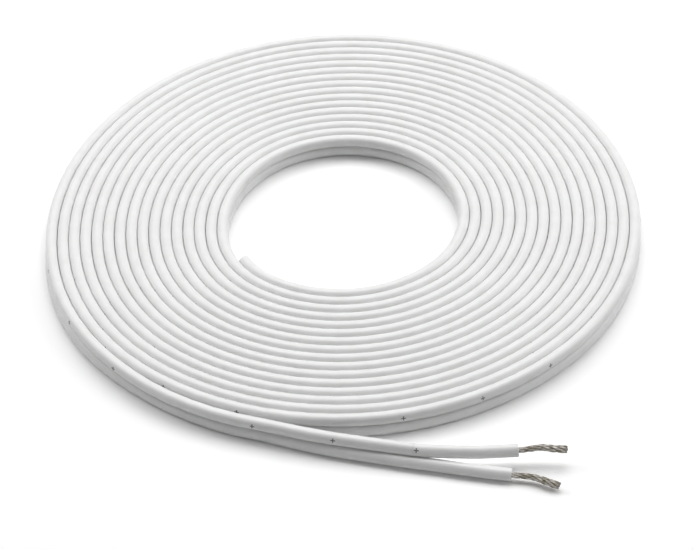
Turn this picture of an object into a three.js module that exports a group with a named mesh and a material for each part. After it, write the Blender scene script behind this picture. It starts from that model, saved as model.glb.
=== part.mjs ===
// A loose coil of white twin-core flex with both of its leads parted and stripped bare.
// The flex lies on edge in one flat spiral, so its two cores are stacked: positive above, negative below.
// Millimetres, +Z up. The finished cord stands on Z = 0 with the middle of its outline over the origin.
import * as THREE from "three";

// ---- Driving dimensions -------------------------------------------------------------------------

const strandDiameter = 0.42; // one tinned copper strand
const strandSpacing = 0.02; // air between the strands where they still lie bunched
const outerStrands = 6; // round the one in the middle
const strandLay = 13; // length over which an outer strand turns once about the middle one
const insulationWall = 0.68; // plastic over each conductor, to the sides
const coreStretch = 0.14; // by which a core is taller than it is wide
const boreClearance = 0.3; // from the conductor's outline to the corners of its bore
const webThickness = 1.1; // of the plastic that joins the two cores
const grooveLip = 0.75; // from the web up or down to where a core's flank is full
const faceGap = 0.3; // between two pieces that meet face to face

const innerRadius = 26.88; // from the coil's middle to the cable's middle, at the cable's inner end
const innerEndAngle = 210; // degrees about the coil's middle, from +X, where the inner end lies
const departureAngle = 254; // degrees, where the cable leaves the coil
const wholeTurns = 16; // between those two angles, counter-clockwise
const turnGap = 0.05; // air between neighbouring turns of the real, round-edged cable
const flankRelief = 0.2; // taken off each faceted flank, so that the turns stay clear of each other
const standOff = 0.75; // by which the loose end of the last turn stands off the turn inside it
const standOffFrom = 44; // degrees before the cable leaves the coil, where it starts to stand off
const stepsPerTurn = 16;
const innerRun = 9; // straight length at the inner end, before the first bend

// The turns are not quite round. Here they lie so far outside a true spiral: degrees, millimetres.
const outOfRound = [
  [0, 0.12], [45, 0.22], [85, 0], [120, -0.33], [150, -0.63], [170, -0.43], [185, 0.06],
  [205, 1.15], [220, 1.56], [235, 1.21], [255, 0.49], [275, 0], [300, -0.37], [325, -0.08],
];

const departureRoll = 7; // degrees that the cable has rolled where it leaves the coil, its foot outward
const splitRoll = 38; // and where its cores part
const tailLength = 34.4; // from the coil to where the cores part
const tailSteps = 8;

// The tail, ahead of where it leaves the coil and to the left of that line.
const tailPlaces = [[5.6, -0.25], [9, -0.42], [16, -0.46], [24, -0.07], [tailLength - 0.3, 0.6]];
const legSteps = 9;
const conductorInset = 5; // from the end of a lead's plastic back to where its strands start
const strandSteps = 13;
const tipFlare = 0.6; // from the middle strand to the outer ones, at a lead's tips
const tipStagger = 0.5; // between the longest strand and the shortest

// The leads, counted from where the cores part: ahead of it, to the left of the line on which the cable
// leaves the coil, and above the core's height in the tail, or for the lower lead above where it rests.
// The plastic ends at the fourth point.
const positiveLead = [
  [5.7, 2.45, 0], [9.9, 3.33, 0], [15.1, 4.68, 0], [22.1, 6.95, 0.04],
  [24.7, 7.85, 0.27], [26.9, 8.45, 0.6], [29.2, 8.95, 0.38], [32.5, 9.75, 0.1],
];
const negativeLead = [
  [5.2, 0.15, 0.08], [10.2, 0.43, 0.01], [15, 0.77, 0], [21.9, 1.4, 0],
  [24.3, 1.75, 0], [26.8, 1.9, 0], [29.6, 1.42, 0], [32.7, 0.75, 0],
];
const lastPlasticPoint = 4;

// ---- Sizes that follow --------------------------------------------------------------------------

const conductorRadius = strandDiameter * 1.5 + strandSpacing;
const bunchedRing = strandDiameter + strandSpacing; // middle strand to outer strands, inside a lead
const coreRadius = conductorRadius + insulationWall; // half the width of a core
const coreHeight = 2 * coreRadius + coreStretch;
const cableHeight = 2 * coreHeight;
const restFlatDepth = coreRadius / 5; // a tenth of a core's width is cut off where the cable rests
const pitch = 2 * coreRadius + turnGap;
const flankWidth = coreRadius - flankRelief; // half the width of a faceted core, between its upright sides
const footWidth = 0.75 * coreRadius; // half the width of the flat that the cable rests on
const legRest = coreHeight / 2 - restFlatDepth; // the middle of a leg that rests on its flat
const fromSeam = { positive: coreHeight / 2, negative: -coreHeight / 2 };

const plastic = new THREE.MeshStandardMaterial({ color: "#eeeeec", roughness: 0.45, metalness: 0 });
const tinnedCopper = new THREE.MeshStandardMaterial({ color: "#a8a49e", roughness: 0.35, metalness: 1 });

// ---- Sections, as [left, up] pairs, counter-clockwise when the cable runs towards the viewer -----

function polygon(sides, radius, firstAngle, up = 0) {
  return Array.from({ length: sides }, (_, i) => {
    const angle = THREE.MathUtils.degToRad(firstAngle + (360 * i) / sides);
    return [radius * Math.cos(angle), up + radius * Math.sin(angle)];
  });
}

// The twin cable's outline about its seam: a peaked upper core, the groove, and a lower core cut flat.
function twinOutline() {
  const right = [
    [footWidth, restFlatDepth - coreHeight],
    [flankWidth, -grooveLip],
    [webThickness / 2, 0],
    [flankWidth, grooveLip],
    [flankWidth, coreHeight - coreRadius / 2],
  ];
  const left = right.map(([side, up]) => [-side, up]).reverse();
  return [...right, [0, coreHeight], ...left];
}

// One core by itself, with flats all round. A core that rests on the floor is cut as the cable is.
function legOutline(cutFlat) {
  const lowest = (cutFlat ? restFlatDepth : 0) - coreHeight / 2;
  const stretched = (up) => up + (Math.sign(up) * coreStretch) / 2;
  return polygon(8, coreRadius, 22.5).map(([side, up]) => [side, Math.max(stretched(up), lowest)]);
}

const boreOutline = (sides, up = 0) => polygon(sides, conductorRadius + boreClearance, 90, up);
const twinBores = (sides) => [boreOutline(sides, fromSeam.positive), boreOutline(sides, fromSeam.negative)];

// A section turned about its seam's middle, foot outward, and the height that it then has above the floor.
function rolled(loop, roll) {
  const [cos, sin] = [Math.cos(roll), Math.sin(roll)];
  return loop.map(([side, up]) => [side * cos + up * sin, up * cos - side * sin]);
}
const settled = (roll) => Math.max(...rolled(twinOutline(), roll).map(([, up]) => -up));

// ---- Sweeps -------------------------------------------------------------------------------------

const worldUp = new THREE.Vector3(0, 0, 1);

// The travel, left and up directions at each point of a path. A bend's ring halves its angle.
function framesAlong(points) {
  return points.map((point, i) => {
    const before = points[Math.max(i - 1, 0)];
    const after = points[Math.min(i + 1, points.length - 1)];
    const into = i > 0 ? point.clone().sub(before).normalize() : new THREE.Vector3();
    const outOf = after === point ? new THREE.Vector3() : after.clone().sub(point).normalize();
    const travel = into.add(outOf).normalize();
    const left = worldUp.clone().cross(travel).normalize();
    return { point, left, up: travel.clone().cross(left) };
  });
}

// One closed body: a section carried along a path without a break, with its bores open at both ends.
// At each point it may be rolled by another angle.
function sweep(outline, bores, points, rolls = points.map(() => 0)) {
  const section = [outline, ...bores.map((bore) => [...bore].reverse())];
  const ringSize = section.flat().length;
  const positions = [];
  framesAlong(points).forEach(({ point, left, up }, i) => {
    for (const [side, rise] of rolled(section.flat(), rolls[i])) {
      const corner = point.clone().addScaledVector(left, side).addScaledVector(up, rise);
      positions.push(corner.x, corner.y, corner.z);
    }
  });

  const faces = [];
  for (let ring = 0; ring < points.length - 1; ring++) {
    let first = ring * ringSize;
    for (const loop of section) {
      loop.forEach((_, i) => {
        const a = first + i;
        const b = first + ((i + 1) % loop.length);
        faces.push(a, b, b + ringSize, a, b + ringSize, a + ringSize);
      });
      first += loop.length;
    }
  }

  const [contour, ...holes] = section.map((loop) => loop.map(([x, y]) => new THREE.Vector2(x, y)));
  const lastRing = (points.length - 1) * ringSize;
  for (const [a, b, c] of THREE.ShapeUtils.triangulateShape(contour, holes)) {
    faces.push(c, b, a, lastRing + a, lastRing + b, lastRing + c);
  }

  const geometry = new THREE.BufferGeometry();
  geometry.setAttribute("position", new THREE.Float32BufferAttribute(positions, 3));
  geometry.setIndex(faces);
  return geometry;
}

// A tube along a curve. An extrusion's own axes are down and left, so the section is turned to suit.
function tube(outline, bores, curve, steps) {
  const turned = (loop) => loop.map(([side, up]) => new THREE.Vector2(-up, side));
  const shape = new THREE.Shape(turned(outline));
  shape.holes = bores.map((bore) => new THREE.Path(turned(bore)));
  return new THREE.ExtrudeGeometry(shape, { steps, bevelEnabled: false, extrudePath: curve });
}

// ---- Route --------------------------------------------------------------------------------------

const radians = THREE.MathUtils.degToRad;
const stepAngle = 360 / stepsPerTurn;

const lastAngle = departureAngle + 360 * wholeTurns;

// A smooth closed curve through the listed places.
const outOfRoundCurve = new THREE.CubicInterpolant(
  [-1, 0, 1].flatMap((lap) => outOfRound.map(([angle]) => angle + 360 * lap)),
  [-1, 0, 1].flatMap(() => outOfRound.map(([, offset]) => offset)),
  1,
);

// The cable's middle on the spiral, at an angle counted on past 360 with each turn.
function onSpiral(angle) {
  const even = innerRadius + (pitch * (angle - innerEndAngle)) / 360;
  const loose = standOff * THREE.MathUtils.smoothstep(angle, lastAngle - standOffFrom, lastAngle);
  const radius = even + outOfRoundCurve.evaluate(angle % 360)[0] + loose;
  return new THREE.Vector3(radius * Math.cos(radians(angle)), radius * Math.sin(radians(angle)), 0);
}

const departure = onSpiral(lastAngle);
const ahead = new THREE.Vector3(-Math.sin(radians(lastAngle)), Math.cos(radians(lastAngle)), 0);
const toLeft = worldUp.clone().cross(ahead);

function fromDeparture(forward, left = 0, lift = 0) {
  return departure.clone().addScaledVector(ahead, forward).addScaledVector(toLeft, left).setZ(lift);
}

// Every turn bends at the same angles, so neighbouring turns nest. Both ends run straight and square.
function coilRoute() {
  const bends = [];
  for (let angle = lastAngle; angle > innerEndAngle + stepAngle / 2; angle -= stepAngle) bends.unshift(angle);
  const [first, ...rest] = bends.map(onSpiral);
  const straight = first.clone().sub(onSpiral(bends[0] - stepAngle)).normalize();
  const innerEnd = first.clone().addScaledVector(straight, -innerRun);
  const points = [innerEnd, first, ...rest, fromDeparture(...tailPlaces[0])];
  return { points, rolls: points.map((_, i) => (i < points.length - 2 ? 0 : radians(departureRoll))) };
}

// The stretch of a curve between two lengths along it.
class Stretch extends THREE.Curve {
  constructor(curve, from, to) {
    super();
    this.curve = curve;
    this.from = from / curve.getLength();
    this.to = to / curve.getLength();
  }

  getPoint(share, target = new THREE.Vector3()) {
    return this.curve.getPointAt(THREE.MathUtils.lerp(this.from, this.to, share), target);
  }
}

// The tail, which rolls on until it half lies on its side.
function tailRoute() {
  const places = tailPlaces.map((place) => fromDeparture(...place));
  places[0].add(places[1].clone().sub(places[0]).setLength(faceGap));
  const points = new THREE.CatmullRomCurve3(places).getSpacedPoints(tailSteps);
  const rolls = points.map((_, i) => radians(THREE.MathUtils.lerp(departureRoll, splitRoll, i / tailSteps)));
  return { points, rolls };
}

const coil = coilRoute();
const tail = tailRoute();
for (const { points, rolls } of [coil, tail]) points.forEach((point, i) => point.setZ(settled(rolls[i])));

// A core's middle at each point of a rolled stretch of the cable.
function coreMiddles({ points, rolls }, core) {
  return framesAlong(points).map(({ point, left, up }, i) => {
    const [[side, rise]] = rolled([[0, fromSeam[core]]], rolls[i]);
    return point.clone().addScaledVector(left, side).addScaledVector(up, rise);
  });
}

function leadOf(core, list) {
  const own = coreMiddles(tail, core).at(-1).addScaledVector(ahead, 2 * faceGap);
  const floor = core === "negative" ? legRest : own.z;
  const placed = list.map(([forward, left, lift]) => fromDeparture(tailLength + forward, left, floor + lift));
  const points = [own, ...placed];
  const curve = new THREE.CatmullRomCurve3(points);
  curve.arcLengthDivisions = 400;
  const covered = new THREE.CatmullRomCurve3(points.slice(0, lastPlasticPoint + 1));
  return { curve, length: curve.getLength(), plasticLength: covered.getLength() };
}

const leads = { positive: leadOf("positive", positiveLead), negative: leadOf("negative", negativeLead) };

// ---- Pieces -------------------------------------------------------------------------------------

const cord = new THREE.Group();

function add(name, geometry, material) {
  const mesh = new THREE.Mesh(geometry, material);
  mesh.name = name;
  cord.add(mesh);
}

function addInsulation() {
  add("insulation_coil", sweep(twinOutline(), twinBores(3), coil.points, coil.rolls), plastic);
  add("insulation_tail", sweep(twinOutline(), twinBores(6), tail.points, tail.rolls), plastic);
}

function addLegInsulation(core) {
  const { curve, plasticLength } = leads[core];
  const outline = legOutline(core === "negative");
  const leg = tube(outline, [boreOutline(6)], new Stretch(curve, 0, plasticLength), legSteps);
  add(`${core}_leg_insulation`, leg, plastic);
}

// The bunched strands, from the inner end through the coil and the tail into their own lead.
function addConductor(core) {
  const { curve, plasticLength } = leads[core];
  const inCable = [...coreMiddles(coil, core), ...coreMiddles(tail, core).slice(1)];
  const inLead = new Stretch(curve, 0, plasticLength - conductorInset - faceGap).getPoints(legSteps).slice(1);
  const rolls = [...coil.rolls, ...tail.rolls.slice(1), ...inLead.map(() => radians(splitRoll))];
  const bunch = polygon(3, conductorRadius, 90);
  add(`${core}_conductor`, sweep(bunch, [], [...inCable, ...inLead], rolls), tinnedCopper);
}

// A strand of a lead's bare end: the first runs down the middle, and the others wind round it and flare.
function strandPoints(core, index) {
  const { curve, length, plasticLength } = leads[core];
  const start = plasticLength - conductorInset;
  const end = length - (tipStagger * ((3 * index) % (outerStrands + 1))) / outerStrands;
  const middle = new Stretch(curve, start, end).getPoints(strandSteps);
  return framesAlong(middle).map(({ point, left, up }, i) => {
    const along = ((end - start) * i) / strandSteps;
    const opened = THREE.MathUtils.smoothstep(along, conductorInset, end - start);
    const reach = index === 0 ? 0 : THREE.MathUtils.lerp(bunchedRing, tipFlare, opened);
    const angle = 2 * Math.PI * (index / outerStrands + along / strandLay);
    const side = reach * Math.cos(angle);
    return point.clone().addScaledVector(left, side).addScaledVector(up, reach * Math.sin(angle));
  });
}

function addStrands(core) {
  for (let index = 0; index <= outerStrands; index++) {
    const strand = sweep(polygon(6, strandDiameter / 2, 0), [], strandPoints(core, index));
    add(`${core}_strand_${index + 1}`, strand, tinnedCopper);
  }
}

// ---- Measurements printed for the record ----------------------------------------------------------

function routeLength(points) {
  return points.slice(1).reduce((sum, point, i) => sum + point.distanceTo(points[i]), 0);
}

// The least distance between the corners of one turn and those of the next, ring by ring.
function leastGapBetweenTurns() {
  const rings = framesAlong(coil.points).map(({ point, left, up }, i) =>
    rolled(twinOutline(), coil.rolls[i]).map(([side, rise]) =>
      point.clone().addScaledVector(left, side).addScaledVector(up, rise)));
  let least = Infinity;
  rings.forEach((ring, i) => {
    for (const other of rings.slice(i + stepsPerTurn - 1, i + stepsPerTurn + 2)) {
      for (const corner of ring) {
        for (const facing of other) least = Math.min(least, corner.distanceTo(facing));
      }
    }
  });
  return least;
}

addInsulation();
addLegInsulation("positive");
addLegInsulation("negative");
addConductor("positive");
addConductor("negative");
addStrands("positive");
addStrands("negative");

const outline = new THREE.Box3().setFromObject(cord);
const middleOfOutline = outline.getCenter(new THREE.Vector3());
cord.position.set(-middleOfOutline.x, -middleOfOutline.y, -outline.min.z);

console.log(`least gap between turns ${leastGapBetweenTurns().toFixed(3)} mm`);
console.log(`coil ${routeLength(coil.points).toFixed(0)} mm, tail ${routeLength(tail.points).toFixed(1)} mm`);
for (const [core, { length, plasticLength }] of Object.entries(leads)) {
  console.log(`${core} lead ${length.toFixed(1)} mm, ${plasticLength.toFixed(1)} mm of it in plastic`);
}
console.log(`coil's middle ${cord.position.x.toFixed(3)}, ${cord.position.y.toFixed(3)}`);
console.log(`lowest point ${outline.min.z.toFixed(4)}`);

export default cord;
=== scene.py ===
# %% [markdown]
# # A coil of white twin-core flex
#
# Flat twin flex is two stranded wires in one strip of soft white plastic, joined by a thin web. Here five metres
# of it lie on edge in a flat spiral, so from above only the upper core of each turn shows. At the outer end the
# web is torn, the two cores part, and each is stripped to its bare strands.
#
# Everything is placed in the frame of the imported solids: metres, +Z up, and the surface at Z = 0.

# %% The frame
import math

import bpy
from mathutils import Matrix, Vector
from mathutils.geometry import tessellate_polygon


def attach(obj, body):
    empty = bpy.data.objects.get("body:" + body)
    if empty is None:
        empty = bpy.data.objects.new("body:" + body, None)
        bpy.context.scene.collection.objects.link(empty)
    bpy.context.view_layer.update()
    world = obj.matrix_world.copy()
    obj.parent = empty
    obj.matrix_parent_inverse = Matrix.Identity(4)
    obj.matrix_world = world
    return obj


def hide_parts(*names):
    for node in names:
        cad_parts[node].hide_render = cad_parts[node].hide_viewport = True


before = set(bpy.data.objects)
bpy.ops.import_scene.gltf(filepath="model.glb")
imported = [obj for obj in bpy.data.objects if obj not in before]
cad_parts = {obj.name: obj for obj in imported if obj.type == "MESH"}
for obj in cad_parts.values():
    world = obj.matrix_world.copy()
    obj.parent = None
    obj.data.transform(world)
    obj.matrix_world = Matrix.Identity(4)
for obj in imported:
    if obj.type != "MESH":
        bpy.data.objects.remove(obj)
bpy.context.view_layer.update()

MM = 0.001
UP = Vector((0, 0, 1))

# %% [markdown]
# ## Where the camera stands
#
# The coil is photographed from two thirds of a metre away with a long lens, 42 degrees above the table and a
# degree or so out of level. A long lens keeps the far turns nearly as large as the near ones. The camera looks down
# its own -Z, so it is tipped back from straight down by what its height above the table leaves of a right angle,
# and the small roll is a turn about its own line of sight.

# %% The camera
COIL_MIDDLE = Vector((0.666, 8.666, 0)) * MM
LENS_MM = 144.0
CAMERA_DISTANCE = 652.24 * MM
CAMERA_HEIGHT = math.radians(42.222)
CAMERA_ROLL = math.radians(-1.221)
AIM = COIL_MIDDLE + Vector((-0.05, -16.41, 0.4)) * MM

camera = bpy.data.objects.new("camera", bpy.data.cameras.new("camera"))
bpy.context.scene.collection.objects.link(camera)
camera.data.lens = LENS_MM
camera.data.clip_start = 0.01
camera.location = AIM + CAMERA_DISTANCE * Vector((0, -math.cos(CAMERA_HEIGHT), math.sin(CAMERA_HEIGHT)))
tip = Matrix.Rotation(math.pi / 2 - CAMERA_HEIGHT, 3, "X")
camera.rotation_euler = (tip @ Matrix.Rotation(CAMERA_ROLL, 3, "Z")).to_euler()
bpy.context.scene.camera = camera
print("camera at", [round(x, 4) for x in camera.location])

# %% [markdown]
# ## Where the cable runs
#
# A clock-spring spiral gains one pitch of radius with every turn. The pitch is a core's width and the hair of air
# that the turns leave between them. The turns lie against each other, so all of them take the shape of the first,
# which is not round: it steps out over the cable's cut end and eases back. Each also wanders by a hair.
#
# Nothing holds the end of the last turn. It stands a little off the turn inside it, and from there on the cable
# rolls over, its foot outward, until it half lies on its side. In a few places the outermost turns have rolled a
# little too, which opens or shuts the gap beside them. A ring of the cable that has rolled settles on the table, so
# its middle comes down.
#
# The lists hold lengths in millimetres, angles in degrees about the coil's middle, and rolls in degrees.

# %% The cable's sizes and its route
CORE_RADIUS = 1.33 * MM
CORE_HEIGHT = 2.8 * MM
CONDUCTOR_RADIUS = 0.65 * MM
INNER_RADIUS = 26.89 * MM
PITCH = 2.71 * MM
INNER_END_ANGLE = 211.5
DEPARTURE_ANGLE = 254.0
WHOLE_TURNS = 16
STEPS_PER_TURN = 80
OUT_OF_ROUND = [  # an angle, and how far outside the true spiral the turns lie there
    (0, 0.12), (45, 0.22), (85, 0.0), (120, -0.33), (150, -0.63), (170, -0.43), (185, 0.06),
    (205, 1.15), (220, 1.56), (235, 1.21), (255, 0.49), (275, 0.0), (300, -0.37), (325, -0.08),
]
WANDER = 0.02 * MM
STANDS_OFF = 0.75 * MM
STANDS_OFF_FROM = 44.0
ROLLS_FROM = 22.0
NUDGED = [  # counted from where it leaves the coil, from and to, and how far it rolls between them
    (-404, -354, 9), (-314, -224, -9), (-79, -56, 11), (-42, -18, -11),
]
DEPARTURE_ROLL = 7.0  # where it leaves the coil
SPLIT_ROLL = 38.0  # where its cores part
TAIL = [(9, -0.42), (16, -0.46), (24, -0.07), (34.4, 0.62)]  # ahead of where it leaves the coil, and to its left
TAIL_STEPS_PER_SPAN = 7
BEFORE_DEPARTURE = 7  # degrees back to a point that gives the tail its first direction
CROWN_RADIUS = 1.2 * MM
LIP_RADIUS = 1.1 * MM
LAST_ANGLE = DEPARTURE_ANGLE + 360 * WHOLE_TURNS
FROM_SEAM = {"positive": CORE_HEIGHT / 2, "negative": -CORE_HEIGHT / 2}


def smoothstep(x, low, high):
    share = min(max((x - low) / (high - low), 0.0), 1.0)
    return share * share * (3 - 2 * share)


def wander(angle):
    """A slow, smooth wobble that is different on every turn."""
    return WANDER * (0.6 * math.sin(math.radians(2.37 * angle)) + 0.4 * math.sin(math.radians(5.11 * angle + 40)))


def out_of_round(angle):
    """A smooth closed curve through the listed offsets."""
    count = len(OUT_OF_ROUND)
    knots = [(a + 360 * lap, offset) for lap in (-1, 0, 1) for a, offset in OUT_OF_ROUND]
    k = next(i for i in range(count, 2 * count) if angle % 360 < knots[i + 1][0])
    (a0, v0), (a1, v1), (a2, v2), (a3, v3) = knots[k - 1 : k + 3]
    x = (angle % 360 - a1) / (a2 - a1)
    leave = (v2 - v0) * (a2 - a1) / (a2 - a0)
    arrive = (v3 - v1) * (a2 - a1) / (a3 - a1)
    curve = v1 + leave * x + (3 * (v2 - v1) - 2 * leave - arrive) * x**2 + (2 * (v1 - v2) + leave + arrive) * x**3
    return curve * MM


def settled(roll):
    """How high the seam's middle lies above the table when the cable has rolled by so many degrees."""
    turned = math.radians(roll)
    across, below = CORE_RADIUS - CROWN_RADIUS, CORE_HEIGHT - CROWN_RADIUS
    return CROWN_RADIUS + below * math.cos(turned) + across * math.sin(turned)


def roll_on_coil(angle):
    before = angle - LAST_ANGLE
    nudges = sum(roll * smoothstep(before, start, end) for start, end, roll in NUDGED)
    return nudges + DEPARTURE_ROLL * smoothstep(before, -ROLLS_FROM, 0)


def room_for(roll):
    """How far a rolled cable moves outward, so that its crown stays clear of the turn inside it."""
    turned = math.radians(roll)
    reach = CROWN_RADIUS + (CORE_RADIUS - CROWN_RADIUS) * math.cos(turned)
    return reach + (CORE_HEIGHT - CROWN_RADIUS) * math.sin(turned) - CORE_RADIUS


def on_spiral(angle):
    """The cable's middle at an angle counted on past 360 with each turn, at the height of its seam."""
    radius = INNER_RADIUS + PITCH * (angle - INNER_END_ANGLE) / 360 + out_of_round(angle) + wander(angle)
    radius += max(room_for(roll_on_coil(angle)), STANDS_OFF * smoothstep(angle - LAST_ANGLE, -STANDS_OFF_FROM, 0))
    turned = math.radians(angle)
    height = settled(roll_on_coil(angle))
    return COIL_MIDDLE + Vector((radius * math.cos(turned), radius * math.sin(turned), height))


departure = on_spiral(LAST_ANGLE)
ahead = Vector((-math.sin(math.radians(LAST_ANGLE)), math.cos(math.radians(LAST_ANGLE)), 0))
to_left = UP.cross(ahead)


def from_departure(forward, left, height):
    """A point ahead of where the cable leaves the coil and to the left of that line, above the table."""
    point = departure + ahead * forward + to_left * left
    return Vector((point.x, point.y, height))


def smooth(points, steps_per_span):
    """A curve through all the points: each span leaves and arrives the way that its neighbours set."""
    ends = [2 * points[0] - points[1]] + points + [2 * points[-1] - points[-2]]
    path = []
    for a, b, c, d in zip(ends, ends[1:], ends[2:], ends[3:]):
        for i in range(steps_per_span):
            t = i / steps_per_span
            out = (c - a) * t + (2 * a - 5 * b + 4 * c - d) * t**2 + (3 * b - a - 3 * c + d) * t**3
            path.append(b + out / 2)
    return path + [points[-1]]


def lengths_along(path):
    """How far along a route each of its points lies."""
    along = [0.0]
    for a, b in zip(path, path[1:]):
        along.append(along[-1] + (b - a).length)
    return along


def length_of(path):
    return lengths_along(path)[-1]


whole = LAST_ANGLE - INNER_END_ANGLE
steps = round(whole / 360 * STEPS_PER_TURN)
angles = [INNER_END_ANGLE + whole * i / steps for i in range(steps + 1)]
coil_path = [on_spiral(angle) for angle in angles]
coil_rolls = [roll_on_coil(angle) for angle in angles]

on_tail = [from_departure(forward * MM, left * MM, departure.z) for forward, left in TAIL]
beyond = 2 * on_tail[-1] - on_tail[-2]
tail_path = smooth([on_spiral(LAST_ANGLE - BEFORE_DEPARTURE), departure] + on_tail + [beyond], TAIL_STEPS_PER_SPAN)
tail_path = tail_path[TAIL_STEPS_PER_SPAN + 1 : -TAIL_STEPS_PER_SPAN]
tail_rolls = []
for i, point in enumerate(tail_path):
    share = length_of([departure] + tail_path[: i + 1]) / length_of([departure] + tail_path)
    tail_rolls.append(DEPARTURE_ROLL + (SPLIT_ROLL - DEPARTURE_ROLL) * share)
    point.z = settled(tail_rolls[-1])
cable_path = coil_path + tail_path
cable_rolls = coil_rolls + tail_rolls
print("cable to where its cores part", round(length_of(cable_path), 4), "m")

# %% [markdown]
# The two leads are listed points joined by a smooth curve, each counted from where the cores part. The upper
# lead keeps the height that it has there, because stiff plastic carries it. The lower one lies on the table and
# turns away from it. Past the end of the plastic the strands go on by themselves.

# %% The leads' routes
POSITIVE_LEAD = [  # ahead, to the left, and above the height that the core has where the cores part
    (5.7, 2.45, 0), (9.9, 3.33, 0), (15.1, 4.68, 0), (22.1, 6.95, 0.04),
    (24.7, 7.85, 0.27), (26.9, 8.45, 0.6), (29.2, 8.95, 0.38), (32.5, 9.75, 0.1),
]
NEGATIVE_LEAD = [
    (5.2, 0.15, 0), (10.2, 0.43, 0), (15, 0.77, 0), (21.9, 1.4, 0),
    (24.3, 1.75, 0), (26.8, 1.9, 0), (29.6, 1.42, 0), (32.7, 0.75, 0),
]
LAST_PLASTIC_POINT = 4
SPAN_STEPS = 14
LEAD_IN = 5  # rings of the cable back to a point that gives a lead its first direction


def core_place(seam, left, up, roll, name):
    """Where a core's middle lies when the cable has rolled about its seam's middle."""
    turned = math.radians(roll)
    return seam + (left * math.sin(turned) + up * math.cos(turned)) * FROM_SEAM[name]


def lead_path(name, points):
    """The lead's middle from where the cores part to its tips, and how many of those points are in plastic."""
    before, start = (core_place(cable_path[i], to_left, UP, cable_rolls[i], name) for i in (-1 - LEAD_IN, -1))
    placed = [from_departure((TAIL[-1][0] + x) * MM, y * MM, start.z + z * MM) for x, y, z in points]
    return smooth([before, start] + placed, SPAN_STEPS)[SPAN_STEPS:], LAST_PLASTIC_POINT * SPAN_STEPS + 1


leads = {"positive": lead_path("positive", POSITIVE_LEAD), "negative": lead_path("negative", NEGATIVE_LEAD)}
for name, (path, in_plastic) in leads.items():
    print(name, "lead", round(length_of(path) / MM, 1), "mm, in plastic", round(length_of(path[:in_plastic]) / MM, 1))

# %% [markdown]
# ## Plastic that has a direction
#
# The plastic is extruded: it leaves a die still soft, so what little texture it has runs along the cable as faint
# lines, and the surface is smooth with a broad soft gloss. The lines read the piece's own UV map, which holds the
# way round the cable and the length along it in metres, so they follow every turn. Thin white plastic also
# lets some light through, which a little subsurface scattering gives.


# %% A helper for node materials
def new_material(name):
    material = bpy.data.materials.new(name)
    material.use_nodes = True
    nodes = material.node_tree.nodes
    nodes.clear()
    output = nodes.new("ShaderNodeOutputMaterial")
    shader = nodes.new("ShaderNodeBsdfPrincipled")
    material.node_tree.links.new(shader.outputs["BSDF"], output.inputs["Surface"])
    return material, nodes, material.node_tree.links, shader


def noise_on(nodes, links, source, stretch, scale, detail):
    """Noise read through a Mapping that stretches it, so that it can run along a piece as lines do."""
    mapping = nodes.new("ShaderNodeMapping")
    mapping.inputs["Scale"].default_value = stretch
    texture = nodes.new("ShaderNodeTexNoise")
    texture.inputs["Scale"].default_value = scale
    texture.inputs["Detail"].default_value = detail
    links.new(source, mapping.inputs["Vector"])
    links.new(mapping.outputs["Vector"], texture.inputs["Vector"])
    return texture.outputs["Fac"]


def ramp_between(nodes, links, factor, low, high, dark, light):
    ramp = nodes.new("ShaderNodeValToRGB")
    ramp.color_ramp.elements[0].position = low
    ramp.color_ramp.elements[0].color = (*dark, 1)
    ramp.color_ramp.elements[1].position = high
    ramp.color_ramp.elements[1].color = (*light, 1)
    links.new(factor, ramp.inputs["Fac"])
    return ramp.outputs["Color"]


def range_between(nodes, links, factor, low, high):
    span = nodes.new("ShaderNodeMapRange")
    span.inputs["To Min"].default_value = low
    span.inputs["To Max"].default_value = high
    links.new(factor, span.inputs["Value"])
    return span.outputs["Result"]


def bump_from(nodes, links, height, strength, distance, shader):
    bump = nodes.new("ShaderNodeBump")
    bump.inputs["Strength"].default_value = strength
    bump.inputs["Distance"].default_value = distance
    links.new(height, bump.inputs["Height"])
    links.new(bump.outputs["Normal"], shader.inputs["Normal"])


# %% White extruded plastic
def white_plastic():
    material, nodes, links, shader = new_material("white_flex_plastic")
    place = nodes.new("ShaderNodeTexCoord")
    die_lines = noise_on(nodes, links, place.outputs["UV"], (60, 25, 1), 1.0, 3)
    handling = noise_on(nodes, links, place.outputs["Object"], (1, 1, 1), 260, 4)
    tint = ramp_between(nodes, links, handling, 0.35, 0.7, (0.81, 0.81, 0.805), (0.85, 0.85, 0.85))
    links.new(tint, shader.inputs["Base Color"])
    links.new(range_between(nodes, links, handling, 0.34, 0.46), shader.inputs["Roughness"])
    shader.inputs["Subsurface Weight"].default_value = 0.3
    shader.inputs["Subsurface Radius"].default_value = (0.9, 0.9, 0.85)
    shader.inputs["Subsurface Scale"].default_value = 0.001
    shader.inputs["IOR"].default_value = 1.53
    bump_from(nodes, links, die_lines, 0.25, 0.00004, shader)
    return material


PLASTIC = white_plastic()

# %% [markdown]
# ## The twin extrusion
#
# A tube is made ring by ring: a section is carried along the route and its corners are joined to the next ring's.
# The same helper makes the cable, its parted legs, the conductors and each strand. It also cuts the bores, which
# are open at both ends as on the real cable, and writes the UV map that the plastic's lines follow.


# %% Sections, as (left, up) pairs
SEAM_GAP = 0.1 * MM  # height of the slot at the bottom of the groove
WEB = 0.5 * MM  # from one slot to the other
LIP_BEND = 86  # degrees that the lip of the groove turns through
LIP_SEGMENTS = 4
CROWN_SEGMENTS = 6
TORN_RIDGE = 0.06 * MM
TORN_FOOT = 0.3 * MM
TORN_TOP = 0.2 * MM
SHOULDER = CORE_RADIUS - CROWN_RADIUS
FLANK = CORE_RADIUS - LIP_RADIUS


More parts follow.
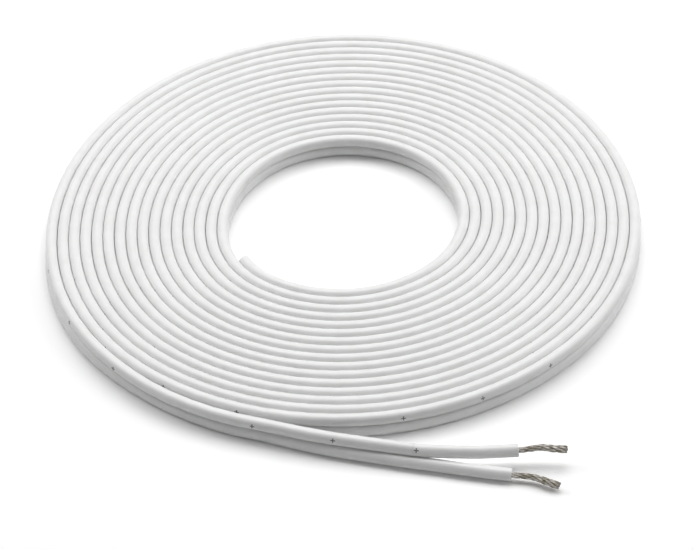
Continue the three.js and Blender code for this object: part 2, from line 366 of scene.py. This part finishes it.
def bend(side, up, radius, first, last, segments):
    """Points of an arc about a centre, from one angle to another in degrees."""
    turns = [math.radians(first + (last - first) * i / segments) for i in range(segments + 1)]
    return [(side + radius * math.cos(t), up + radius * math.sin(t)) for t in turns]


def circle(radius, segments, middle=0.0):
    return bend(0, middle, radius, 0, 360, segments)[:-1]


def twin_section():
    """Two nearly round cores, with a groove between them that narrows to a slot, and a thin web in the middle."""
    crown, lip = CORE_HEIGHT - CROWN_RADIUS, LIP_RADIUS + SEAM_GAP / 2
    right = bend(SHOULDER, -crown, CROWN_RADIUS, -90, 0, CROWN_SEGMENTS)
    right += bend(FLANK, -lip, LIP_RADIUS, 0, LIP_BEND, LIP_SEGMENTS)
    right += [(WEB / 2, -SEAM_GAP / 2), (WEB / 2, SEAM_GAP / 2)]
    right += bend(FLANK, lip, LIP_RADIUS, -LIP_BEND, 0, LIP_SEGMENTS)
    right += bend(SHOULDER, crown, CROWN_RADIUS, 0, 90, CROWN_SEGMENTS)
    return right + [(-side, -up) for side, up in right]


def parted_section(name):
    """One core by itself: what was the groove's lip is now an edge, with a low ridge of torn web between."""
    half = CORE_HEIGHT / 2
    edge = half - SEAM_GAP / 2
    right = bend(FLANK, LIP_RADIUS - edge, LIP_RADIUS, -LIP_BEND, 0, LIP_SEGMENTS)
    right += bend(SHOULDER, half - CROWN_RADIUS, CROWN_RADIUS, 0, 90, CROWN_SEGMENTS)
    left = [(-side, up) for side, up in reversed(right)]
    ridge = -half - TORN_RIDGE
    upper = right + left + [(-TORN_FOOT, -edge), (-TORN_TOP, ridge), (TORN_TOP, ridge), (TORN_FOOT, -edge)]
    return upper if name == "positive" else [(-side, -up) for side, up in upper]


# %% Carrying a section along a route
def directions(path, first=None):
    """The left and up directions at each point of a route."""
    frames = []
    for i in range(len(path)):
        travel = path[min(i + 1, len(path) - 1)] - path[max(i - 1, 0)]
        travel = first if first and i == 0 else travel.normalized()
        left = UP.cross(travel).normalized()
        frames.append((left, travel.cross(left)))
    return frames


def rolled(side, rise, roll):
    turned = math.radians(roll)
    return side * math.cos(turned) + rise * math.sin(turned), rise * math.cos(turned) - side * math.sin(turned)


def sweep(name, path, outline, bores=(), rolls=None, first=None, sizes=None):
    """One closed mesh, from a section that may have holes, along a route. A ring may have its own roll and size."""
    loops = [outline] + [list(reversed(bore)) for bore in bores]
    corners = [corner for loop in loops for corner in loop]
    rolls, sizes = rolls or [0.0] * len(path), sizes or [1.0] * len(path)
    vertices = []
    for point, (left, up), roll, size in zip(path, directions(path, first), rolls, sizes):
        for side, rise in (rolled(*corner, roll) for corner in corners):
            vertices.append(point + (left * side + up * rise) * size)

    along = lengths_along(path)
    ring = len(corners)
    faces, uvs = [], []
    for k in range(len(path) - 1):
        start = k * ring
        for loop in loops:
            n = len(loop)
            for i in range(n):
                j = (i + 1) % n
                faces.append((start + i, start + j, start + j + ring, start + i + ring))
                here, there = along[k], along[k + 1]
                uvs += [(i / n, here), ((i + 1) / n, here), ((i + 1) / n, there), (i / n, there)]
            start += n

    flat = [[Vector((side, rise, 0)) for side, rise in loop] for loop in loops]
    end = (len(path) - 1) * ring
    for a, b, c in tessellate_polygon(flat):
        area = (flat_point(flat, b) - flat_point(flat, a)).cross(flat_point(flat, c) - flat_point(flat, a)).z
        a, b, c = (a, b, c) if area > 0 else (a, c, b)
        faces += [(c, b, a), (end + a, end + b, end + c)]
        uvs += [(corners[i][0] / MM, corners[i][1] / MM) for i in (c, b, a, a, b, c)]

    mesh = bpy.data.meshes.new(name)
    mesh.from_pydata(vertices, [], faces)
    layer = mesh.uv_layers.new(name="along_cable")
    layer.data.foreach_set("uv", [x for uv in uvs for x in uv])
    piece = bpy.data.objects.new(name, mesh)
    bpy.context.scene.collection.objects.link(piece)
    return piece


def flat_point(loops, index):
    for loop in loops:
        if index < len(loop):
            return loop[index]
        index -= len(loop)
    raise IndexError(index)


SMOOTH_UP_TO = math.radians(40)


def finish_piece(piece, material, slot, *nodes):
    """Smooth shading with crisp cut edges and a finish; the solids that the piece stands for are hidden."""
    bpy.ops.object.select_all(action="DESELECT")
    piece.select_set(True)
    bpy.context.view_layer.objects.active = piece
    bpy.ops.object.shade_smooth_by_angle(angle=SMOOTH_UP_TO)
    piece.data.materials.append(material)
    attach(piece, "root")
    if nodes:
        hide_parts(*nodes)
    print(piece.name, len(piece.data.polygons), "faces")
    return piece


# %% The cable's plastic, from its inner end to where the cores part
BORE_RADIUS = CONDUCTOR_RADIUS + 0.02 * MM
BORE_SIDES = 10
bores = [circle(BORE_RADIUS, BORE_SIDES, middle) for middle in FROM_SEAM.values()]
twin_insulation = sweep("twin_insulation", cable_path, twin_section(), bores, cable_rolls)
finish_piece(twin_insulation, PLASTIC, "insulation", "insulation_coil", "insulation_tail")

# %% [markdown]
# Each parted leg starts with the same half of the outline, at the same place as its core in the cable, rolled as
# far and heading the same way, so the plastic carries on without a step. Its open end is seen from close by, so its
# bore is rounder.

# %% The parted legs
LEG_BORE_SIDES = 16
tail_end = (cable_path[-1] - cable_path[-2]).normalized()
for name, (path, in_plastic) in leads.items():
    rolls, bore = [SPLIT_ROLL] * in_plastic, circle(BORE_RADIUS, LEG_BORE_SIDES)
    leg = sweep(f"{name}_leg", path[:in_plastic], parted_section(name), [bore], rolls, tail_end)
    finish_piece(leg, PLASTIC, "insulation", f"{name}_leg_insulation")

# %% [markdown]
# ## Tinned copper
#
# The strands are copper with a coat of tin: silver, a little dull, with brown where the tin is thin. Drawn wire
# has fine lines along it. The finish is a metal whose colour and roughness vary along each strand. Its colour is
# kept darker than bright tin: painted shade, in place of the darker surroundings that real tin would reflect.


# %% Tinned copper
def tinned_copper():
    material, nodes, links, shader = new_material("tinned_copper")
    place = nodes.new("ShaderNodeTexCoord")
    drawn = noise_on(nodes, links, place.outputs["UV"], (14, 260, 1), 1.0, 3)
    worn = noise_on(nodes, links, place.outputs["Object"], (1, 1, 1), 700, 3)
    # both ends of this ramp are darker than tin, which is painted shade for dark reflections; the spread between them
    # is the real mottle of thin tin
    tint = ramp_between(nodes, links, worn, 0.38, 0.66, (0.19, 0.173, 0.14), (0.435, 0.417, 0.397))
    links.new(tint, shader.inputs["Base Color"])
    links.new(range_between(nodes, links, drawn, 0.5, 0.68), shader.inputs["Roughness"])
    shader.inputs["Metallic"].default_value = 1.0
    bump_from(nodes, links, drawn, 0.3, 0.00001, shader)
    return material


COPPER = tinned_copper()

# %% [markdown]
# Inside the plastic the strands lie so tight that a conductor is one round bar, which runs the whole length. It
# shows only in the cut face of the inner end.

# %% The conductors inside the plastic
STRANDS_START = 5 * MM  # back from the end of the plastic
CONDUCTOR_SIDES = 12
conductors, core_routes = {}, {}
for name, (path, in_plastic) in leads.items():
    rings = zip(cable_path, directions(cable_path), cable_rolls)
    in_cable = [core_place(point, left, up, roll, name) for point, (left, up), roll in rings]
    core_routes[name] = in_cable + path[1:in_plastic]
    inside = [p for i, p in enumerate(path[:in_plastic]) if length_of(path[i:in_plastic]) > STRANDS_START]
    bar = sweep(f"{name}_conductor_bar", in_cable + inside[1:], circle(CONDUCTOR_RADIUS, CONDUCTOR_SIDES))
    conductors[name] = finish_piece(bar, COPPER, "conductor", f"{name}_conductor")

# %% [markdown]
# ## Bare strands
#
# A lead ends in seven strands, one in the middle and six laid round it like a rope. Stripping the plastic frees
# them, so they open and fray towards their tips. A strand runs along a helix whose radius grows. It is itself a
# bunch of fine wires, which show as grooves that wind round it, and it is thicker at its frayed end.

# %% The strands of both leads
STRAND_RADIUS = 0.21 * MM
OUTER_STRANDS = 6
BUNCHED_RING = 0.44 * MM
STRAND_LAY = 13 * MM
FLARE = 0.6 * MM
LOOSENED = 1.35  # how much thicker a strand is at its frayed end
LOOSE_FROM = 0.4  # share of its length where it starts to loosen
WIRES_TO_A_STRAND = 5
POINTS_TO_A_WIRE = 4
WIRE_GROOVE = 0.14
WIRES_REACH = 0.92  # middle of their lobes and grooves, as a share of the strand's radius
WIRE_TWIST = 700.0  # degrees from one end of a strand to the other
TIP_STAGGER = 0.5 * MM
STRAND_RINGS = 60


def resample(path, start, end, count):
    """Points at even lengths between two lengths along a route."""
    along = lengths_along(path)
    points = []
    for i in range(count + 1):
        wanted = start + (end - start) * i / count
        k = next((k for k in range(1, len(along)) if along[k] >= wanted), len(along) - 1)
        share = (wanted - along[k - 1]) / (along[k] - along[k - 1])
        points.append(path[k - 1].lerp(path[k], min(share, 1.0)))
    return points


def strand_path(name, index):
    path, in_plastic = leads[name]
    plastic_length = length_of(path[:in_plastic])
    start = plastic_length - STRANDS_START
    end = length_of(path) - TIP_STAGGER * ((3 * index) % (OUTER_STRANDS + 1)) / OUTER_STRANDS
    middle = resample(path, start, end, STRAND_RINGS)
    points = []
    for i, (point, (left, up)) in enumerate(zip(middle, directions(middle))):
        along = (end - start) * i / STRAND_RINGS
        opened = smoothstep(along, STRANDS_START, end - start)
        reach = 0 if index == 0 else BUNCHED_RING + (FLARE - BUNCHED_RING) * opened
        angle = 2 * math.pi * (index / OUTER_STRANDS + along / STRAND_LAY)
        points.append(point + left * reach * math.cos(angle) + up * reach * math.sin(angle))
    return points


wires = []
for k in range(POINTS_TO_A_WIRE * WIRES_TO_A_STRAND):
    turned = 2 * math.pi * k / (POINTS_TO_A_WIRE * WIRES_TO_A_STRAND)
    reach = STRAND_RADIUS * (WIRES_REACH + WIRE_GROOVE * math.cos(WIRES_TO_A_STRAND * turned))
    wires.append((reach * math.cos(turned), reach * math.sin(turned)))

shares = [i / STRAND_RINGS for i in range(STRAND_RINGS + 1)]
frayed = [1 + (LOOSENED - 1) * smoothstep(share, LOOSE_FROM, 1) for share in shares]
twist = [WIRE_TWIST * i / STRAND_RINGS for i in range(STRAND_RINGS + 1)]
for name in leads:
    for index in range(OUTER_STRANDS + 1):
        strand = sweep(f"{name}_wire_{index + 1}", strand_path(name, index), wires, (), twist, sizes=frayed)
        finish_piece(strand, COPPER, "conductor", f"{name}_strand_{index + 1}")

# %% [markdown]
# ## Polarity marks
#
# One core is marked all along with a small grey plus sign every 18 mm, so that the two can be told apart. The
# marks are thin raised ink on the outer flank of the upper core. Each is a flat plus wrapped onto the round core.

# %% Grey ink
def grey_ink():
    material, nodes, links, shader = new_material("grey_ink")
    place = nodes.new("ShaderNodeTexCoord")
    patchy = noise_on(nodes, links, place.outputs["Object"], (1, 1, 1), 2500, 2)
    tint = ramp_between(nodes, links, patchy, 0.35, 0.7, (0.10, 0.10, 0.11), (0.24, 0.24, 0.25))
    links.new(tint, shader.inputs["Base Color"])
    shader.inputs["Roughness"].default_value = 0.55
    return material


INK = grey_ink()

# %% The marks
MARK_SPACING = 18.35 * MM
LAST_MARK = 0.7 * MM  # beyond where the cores part
MARK_ARM = 0.53 * MM
MARK_STROKE = 0.125 * MM
MARK_ABOVE_SEAM = 1.45 * MM
INK_THICKNESS = 0.012 * MM
PLACES_TO_A_RUN = 22
BARE = {3, 20, 21}  # places without a mark in every run, counted back from the last mark
CELLS = [-MARK_ARM, -0.55 * MARK_ARM, -MARK_STROKE, MARK_STROKE, 0.55 * MARK_ARM, MARK_ARM]
STROKE_CELL = 2
NEARBY = 0.1 * MM  # along the cable, to find its direction at a mark

marked_route = core_routes["positive"]
marked_lengths = lengths_along(marked_route)
marked_rolls = cable_rolls + [SPLIT_ROLL] * (len(marked_route) - len(cable_rolls))


def ink_offset(rise):
    """How far the outer flank is from the core's middle, at a height above it: it curves in above the shoulder."""
    above = max(rise - (CORE_HEIGHT / 2 - CROWN_RADIUS), 0.0)
    return SHOULDER + math.sqrt(CROWN_RADIUS**2 - above**2) + INK_THICKNESS


def mark_at(distance, vertices, faces):
    """A plus sign, as cells of a grid without its corners."""
    before, middle, after = resample(marked_route, distance - NEARBY, distance + NEARBY, 2)
    travel = (after - before).normalized()
    left = UP.cross(travel).normalized()
    ring = next(k for k in range(len(marked_route)) if marked_lengths[k] >= distance)
    first = len(vertices)
    for a in CELLS:
        for b in CELLS:
            rise = MARK_ABOVE_SEAM - CORE_HEIGHT / 2 + b
            side, rise = rolled(-ink_offset(rise), rise, marked_rolls[ring])
            vertices.append(middle + travel * a + left * side + UP * rise)
    row = len(CELLS)
    for i in range(row - 1):
        for j in range(row - 1):
            if STROKE_CELL in (i, j):
                k = first + row * i + j
                faces.append((k, k + row, k + row + 1, k + 1))


last_mark = marked_lengths[len(cable_path) - 1] + LAST_MARK
mark_vertices, mark_cells = [], []
for i in range(int(last_mark / MARK_SPACING)):
    if i % PLACES_TO_A_RUN not in BARE:
        mark_at(last_mark - i * MARK_SPACING, mark_vertices, mark_cells)
mesh = bpy.data.meshes.new("polarity_marks")
mesh.from_pydata(mark_vertices, [], mark_cells)
marks = bpy.data.objects.new("polarity_marks", mesh)
bpy.context.scene.collection.objects.link(marks)
bpy.ops.object.select_all(action="DESELECT")
marks.select_set(True)
bpy.context.view_layer.objects.active = marks
bpy.ops.object.mode_set(mode="EDIT")
bpy.ops.mesh.select_all(action="SELECT")
bpy.ops.mesh.delete_loose()
bpy.ops.object.mode_set(mode="OBJECT")
finish_piece(marks, INK, "insulation")

# %% [markdown]

# %% [markdown]
# ## Table and light
#
# A catalogue photograph: a white table with no edge, a soft light above and behind, a smaller one on either side,
# and white all round. The light from behind leaves the tops pale and the sides that face the camera grey,
# with a soft shadow in front of each edge. The side lights keep the coil's ends from going dull, and the one on the
# right stands further forward. The table looks brighter to the camera than to the cable, so that it is clean white
# but keeps its shadows, and away from the coil it fades to plain white. What the camera sees in a gloss counts as
# seen, so that the metal shows the same white.


# %% The table
TABLE_SIZE = 6
TABLE_SEEN = 1.13  # its colour to the camera
TABLE_LIGHTING = 0.8  # and to the light that it throws back onto the cable
BLOWN_OUT = (0.15, 0.4)  # metres from the coil's middle, where the table starts to fade to plain white and is white


def seen_directly(nodes, links):
    """One for what the camera sees by itself, in a gloss or through something clear, and nought for other light."""
    rays = nodes.new("ShaderNodeLightPath")
    seen = rays.outputs["Is Camera Ray"]
    for kind in ("Is Glossy Ray", "Is Transmission Ray"):
        either = nodes.new("ShaderNodeMath")
        either.operation = "MAXIMUM"
        links.new(seen, either.inputs[0])
        links.new(rays.outputs[kind], either.inputs[1])
        seen = either.outputs[0]
    return seen


def white_table():
    material = bpy.data.materials.new("white_table")
    material.use_nodes = True
    nodes, links = material.node_tree.nodes, material.node_tree.links
    nodes.clear()
    output = nodes.new("ShaderNodeOutputMaterial")
    seen = nodes.new("ShaderNodeBsdfDiffuse")
    seen.inputs["Color"].default_value = [TABLE_SEEN] * 3 + [1]
    lighting = nodes.new("ShaderNodeBsdfDiffuse")
    lighting.inputs["Color"].default_value = [TABLE_LIGHTING] * 3 + [1]
    place = nodes.new("ShaderNodeTexCoord")
    distance = nodes.new("ShaderNodeVectorMath")
    distance.operation = "LENGTH"
    links.new(place.outputs["Object"], distance.inputs[0])
    away = nodes.new("ShaderNodeMapRange")
    away.inputs["From Min"].default_value, away.inputs["From Max"].default_value = BLOWN_OUT
    links.new(distance.outputs["Value"], away.inputs["Value"])
    white = nodes.new("ShaderNodeEmission")
    shown = nodes.new("ShaderNodeMixShader")
    links.new(away.outputs["Result"], shown.inputs["Fac"])
    links.new(seen.outputs["BSDF"], shown.inputs[1])
    links.new(white.outputs["Emission"], shown.inputs[2])
    choose = nodes.new("ShaderNodeMixShader")
    links.new(seen_directly(nodes, links), choose.inputs["Fac"])
    links.new(lighting.outputs["BSDF"], choose.inputs[1])
    links.new(shown.outputs["Shader"], choose.inputs[2])
    links.new(choose.outputs["Shader"], output.inputs["Surface"])
    return material


bpy.ops.mesh.primitive_plane_add(size=TABLE_SIZE, location=(0, 0, 0))
table = bpy.context.object
table.name = "table"
table.data.materials.append(white_table())
print("table", TABLE_SIZE, "m square")

# %% The room
ROOM_LIGHT = 0.17
world = bpy.data.worlds.new("white_room")
bpy.context.scene.world = world
world.use_nodes = True
nodes, links = world.node_tree.nodes, world.node_tree.links
nodes.clear()
output = nodes.new("ShaderNodeOutputWorld")
room = nodes.new("ShaderNodeBackground")
room.inputs["Color"].default_value = (1, 1, 1, 1)
room.inputs["Strength"].default_value = ROOM_LIGHT
backdrop = nodes.new("ShaderNodeBackground")
backdrop.inputs["Color"].default_value = (1, 1, 1, 1)
backdrop.inputs["Strength"].default_value = 1.0
choose = nodes.new("ShaderNodeMixShader")
links.new(seen_directly(nodes, links), choose.inputs["Fac"])
links.new(room.outputs[0], choose.inputs[1])
links.new(backdrop.outputs[0], choose.inputs[2])
links.new(choose.outputs[0], output.inputs["Surface"])
print("room light", ROOM_LIGHT)

# %% The softboxes
POWER_PER_AREA = 11.2


def softbox(name, location, width, depth):
    """A large rectangular light that faces the coil. All of them glow alike."""
    light = bpy.data.lights.new(name, "AREA")
    light.shape = "RECTANGLE"
    light.size = width
    light.size_y = depth
    light.energy = POWER_PER_AREA * width * depth
    lamp = bpy.data.objects.new(name, light)
    bpy.context.scene.collection.objects.link(lamp)
    lamp.location = location
    lamp.rotation_euler = (Vector((0, 0, 0)) - Vector(location)).to_track_quat("-Z", "Y").to_euler()
    print(name, round(light.energy, 2), "W")


softbox("overhead_softbox", (0.02, 0.42, 0.78), 0.76, 0.6)
softbox("left_softbox", (-0.72, 0.3, 0.56), 0.42, 0.54)
softbox("right_softbox", (0.76, 0.14, 0.5), 0.46, 0.58)

# %% The look of the picture
bpy.context.scene.view_settings.view_transform = "Standard"
